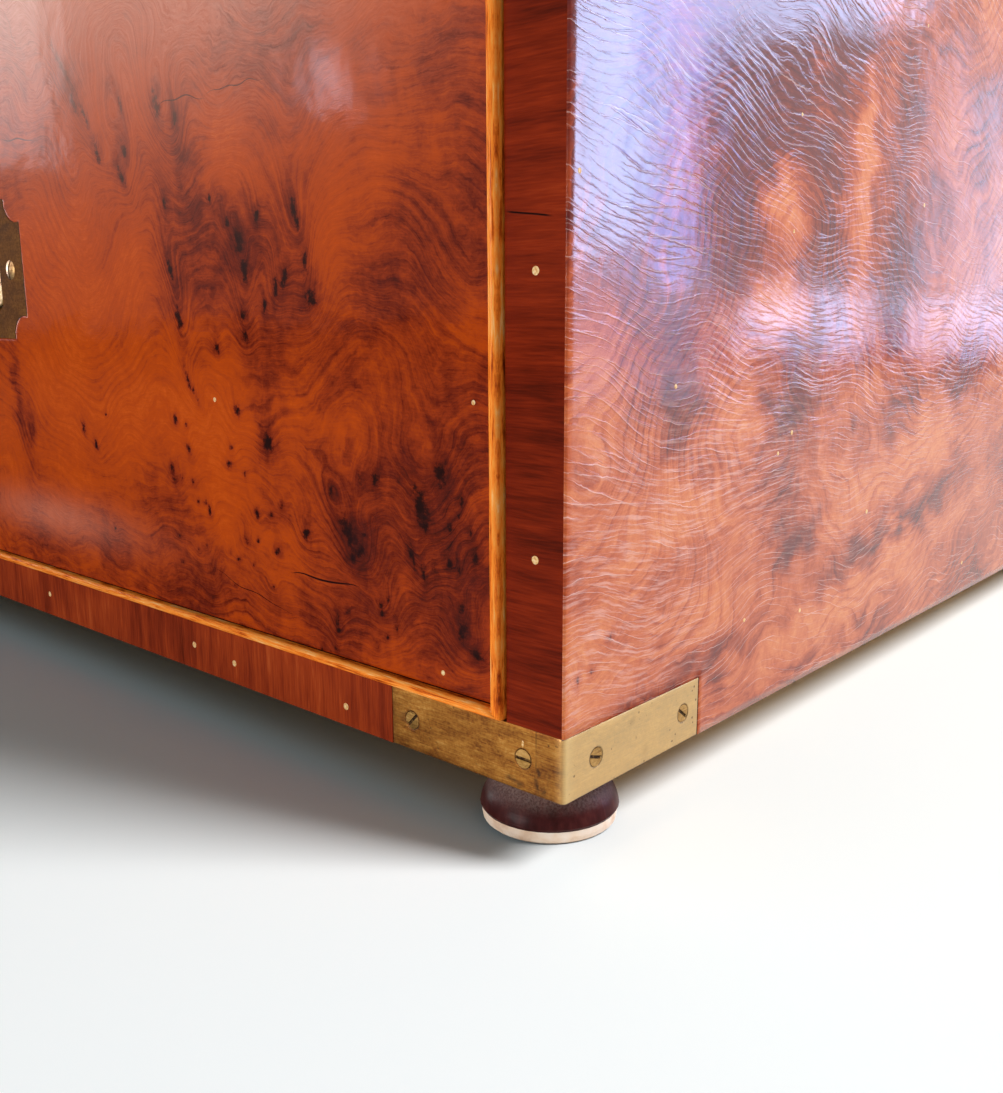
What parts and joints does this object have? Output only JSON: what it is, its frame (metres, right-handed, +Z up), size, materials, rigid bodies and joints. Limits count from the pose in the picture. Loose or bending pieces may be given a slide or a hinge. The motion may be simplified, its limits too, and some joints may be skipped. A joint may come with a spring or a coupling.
{
  "type": "campaign chest",
  "caption": "Small campaign chest with graduated cockbeaded drawers, flush swing handles, let-in brass corner straps and low turned feet on pale glides.",
  "frame": {"origin": "on the floor, under the middle of the chest with its beads", "axes": "+Z up, drawers open towards -Y, +X to the right hand of someone facing the drawers"},
  "size_m": [0.6734, 0.493, 0.738],
  "materials": {
    "brass_screw": "aged",
    "handle_brass": "aged, satin",
    "bail_brass": "rubbed",
    "strap_brass": "aged, satin",
    "steel_screw": "dull",
    "burr_veneer": "glossy varnish, burr yew",
    "crossgrain_facing": "glossy varnish, crossgrain yew",
    "bead": "glossy varnish",
    "pin_plug": "varnished",
    "foot_wood": "dark stain, satin",
    "glide": "satin",
    "drawer_wood": "bare, waxed",
    "ply": "bare",
    "hard_wood": "bare, waxed",
    "carcass_wood": "bare"
  },
  "bodies": {
    "carcass": {"back_panel": "ply", "back_screws": "steel_screw", "bottom_board": "carcass_wood", "bottom_corner_straps": "strap_brass", "bottom_rail": "carcass_wood", "drawer_runners": "hard_wood", "drawer_stops": "hard_wood", "facing_pins": "pin_plug", "feet": "foot_wood", "foot_glides": "glide", "foot_screws": "steel_screw", "lower_divider_rail": "carcass_wood", "lower_dust_board": "ply", "rail_facings": "crossgrain_facing", "side_board_left": "carcass_wood", "side_board_right": "carcass_wood", "side_handle_plate_left": "handle_brass", "side_handle_plate_right": "handle_brass", "side_handle_screws": "brass_screw", "side_veneer_left": "burr_veneer", "side_veneer_right": "burr_veneer", "stile_facings": "crossgrain_facing", "strap_screws": "brass_screw", "top_board": "carcass_wood", "top_corner_straps": "strap_brass", "top_veneer": "burr_veneer", "upper_divider_rail": "carcass_wood", "upper_dust_board": "ply"},
    "bottom_drawer": {"bottom_drawer_back": "drawer_wood", "bottom_drawer_bottom": "ply", "bottom_drawer_cockbead": "bead", "bottom_drawer_front": "drawer_wood", "bottom_drawer_side_left": "drawer_wood", "bottom_drawer_side_right": "drawer_wood", "bottom_drawer_veneer": "burr_veneer", "bottom_handle_plate": "handle_brass", "bottom_handle_screws": "brass_screw"},
    "middle_drawer": {"middle_drawer_back": "drawer_wood", "middle_drawer_bottom": "ply", "middle_drawer_cockbead": "bead", "middle_drawer_front": "drawer_wood", "middle_drawer_side_left": "drawer_wood", "middle_drawer_side_right": "drawer_wood", "middle_drawer_veneer": "burr_veneer", "middle_handle_plate": "handle_brass", "middle_handle_screws": "brass_screw"},
    "top_drawer": {"top_drawer_back": "drawer_wood", "top_drawer_bottom": "ply", "top_drawer_cockbead": "bead", "top_drawer_front": "drawer_wood", "top_drawer_side_left": "drawer_wood", "top_drawer_side_right": "drawer_wood", "top_drawer_veneer": "burr_veneer", "top_handle_plate": "handle_brass", "top_handle_screws": "brass_screw"},
    "bottom_bail": {"bottom_handle_bail": "bail_brass"},
    "middle_bail": {"middle_handle_bail": "bail_brass"},
    "top_bail": {"top_handle_bail": "bail_brass"},
    "left_bail": {"side_handle_bail_left": "bail_brass"},
    "right_bail": {"side_handle_bail_right": "bail_brass"}
  },
  "joints": [
    {"name": "bottom_drawer_slide", "type": "slide", "parent": "carcass", "child": "bottom_drawer", "axis": [0, -1, 0], "range_m": [0, 0.34]},
    {"name": "bottom_bail_hinge", "type": "hinge", "parent": "bottom_drawer", "child": "bottom_bail", "pos_m": [0, -0.2401, 0.1795], "axis": [-1, 0, 0], "range_deg": [0, 90]},
    {"name": "middle_drawer_slide", "type": "slide", "parent": "carcass", "child": "middle_drawer", "axis": [0, -1, 0], "range_m": [0, 0.34]},
    {"name": "middle_bail_hinge", "type": "hinge", "parent": "middle_drawer", "child": "middle_bail", "pos_m": [0, -0.2401, 0.4335], "axis": [-1, 0, 0], "range_deg": [0, 90]},
    {"name": "top_drawer_slide", "type": "slide", "parent": "carcass", "child": "top_drawer", "axis": [0, -1, 0], "range_m": [0, 0.34]},
    {"name": "top_bail_hinge", "type": "hinge", "parent": "top_drawer", "child": "top_bail", "pos_m": [0, -0.2401, 0.6445], "axis": [-1, 0, 0], "range_deg": [0, 90]},
    {"name": "left_bail_hinge", "type": "hinge", "parent": "carcass", "child": "left_bail", "pos_m": [-0.3326, 0.0015, 0.5715], "axis": [0, 1, 0], "range_deg": [0, 90]},
    {"name": "right_bail_hinge", "type": "hinge", "parent": "carcass", "child": "right_bail", "pos_m": [0.3326, 0.0015, 0.5715], "axis": [0, -1, 0], "range_deg": [0, 90]}
  ]
}
